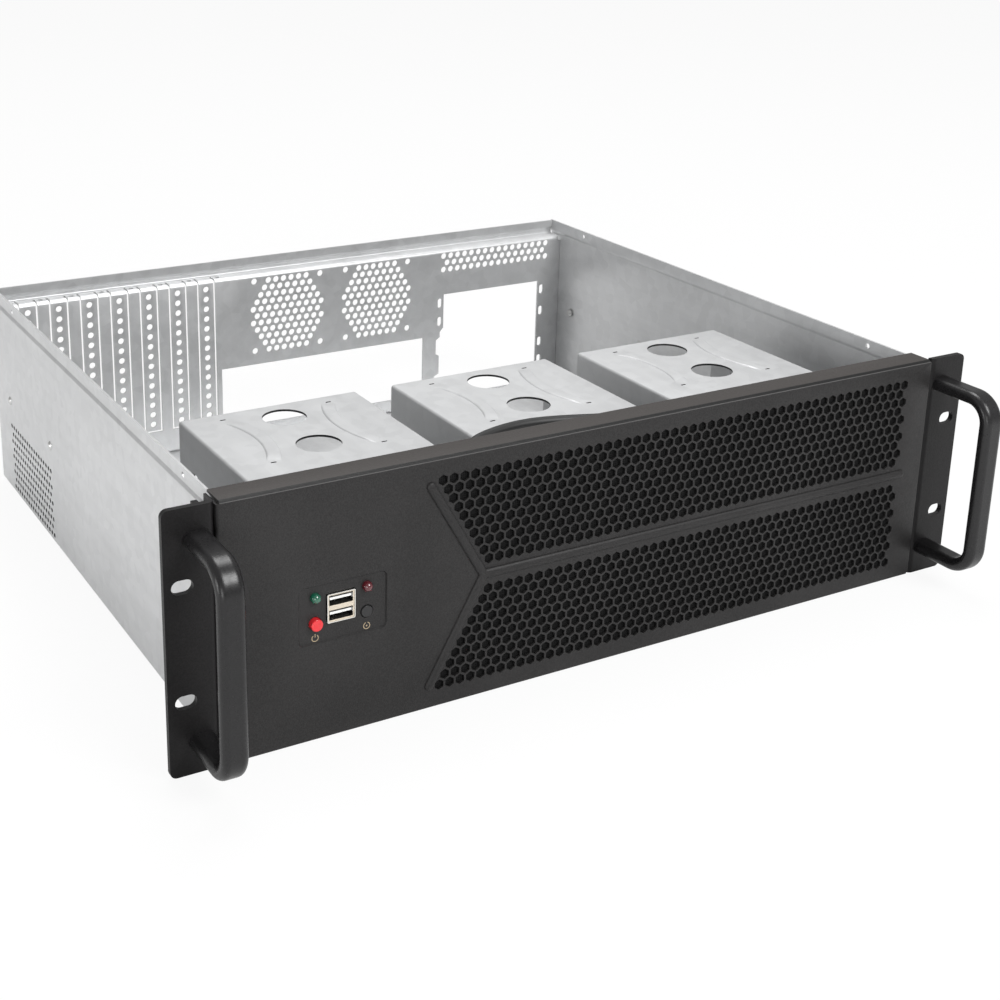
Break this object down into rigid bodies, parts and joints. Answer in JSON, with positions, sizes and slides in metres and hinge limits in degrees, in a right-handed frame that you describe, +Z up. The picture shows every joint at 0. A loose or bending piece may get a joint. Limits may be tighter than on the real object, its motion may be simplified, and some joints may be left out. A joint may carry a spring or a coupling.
{
  "type": "rackmount server case",
  "caption": "Short rackmount server case with its lid off: folded steel tub, black honeycomb front with ears and handles, drive cages and a perforated rear panel.",
  "frame": {"origin": "centre of the four rack slots, on the rear face of the rack ears", "axes": "+X to the right seen from the front, +Y into the rack towards the rear panel, +Z up"},
  "size_m": [0.4826, 0.4206, 0.1326],
  "materials": {
    "galvanised": "satin",
    "cage_steel": "satin",
    "black_powder": "matte",
    "handle_black": "satin",
    "zinc": "satin",
    "black_screw": "satin",
    "filter": "matte",
    "standoff_brass": "satin",
    "board": "satin",
    "black_plastic": "satin",
    "pale_plastic": "satin",
    "green_lamp": "gloss",
    "red_lamp": "gloss",
    "red_button": "gloss",
    "lead_black": "matte"
  },
  "bodies": {
    "case": {"chassis_tub": "galvanised", "rear_panel": "galvanised", "rear_rivets": "zinc", "side_rivets": "zinc", "front_frame": "galvanised", "dust_filter": "filter", "fascia": "black_powder", "ear_left": "black_powder", "ear_right": "black_powder", "ear_screws": "zinc", "handle_left": "handle_black", "handle_right": "handle_black", "handle_screws": "zinc", "power_lamp": "green_lamp", "drive_lamp": "red_lamp", "lamp_spacers": "black_plastic", "power_switch": "black_plastic", "reset_switch": "black_plastic", "usb_shell": "zinc", "usb_insert": "pale_plastic", "control_board": "board", "board_spacers": "zinc", "board_screws": "zinc", "drive_cage_left": "cage_steel", "drive_cage_middle": "cage_steel", "drive_cage_right": "cage_steel", "cage_screws": "zinc", "board_standoffs": "standoff_brass", "panel_lead": "lead_black", "header_plug": "black_plastic"},
    "power_button": {"power_button": "red_button"},
    "reset_button": {"reset_button": "black_plastic"}
  },
  "joints": [
    {"name": "power_press", "type": "slide", "parent": "case", "child": "power_button", "axis": [0, 1, 0], "range_m": [0, 0.0012], "stiffness_N_per_m": 400},
    {"name": "reset_press", "type": "slide", "parent": "case", "child": "reset_button", "axis": [0, 1, 0], "range_m": [0, 0.0012], "stiffness_N_per_m": 400}
  ]
}
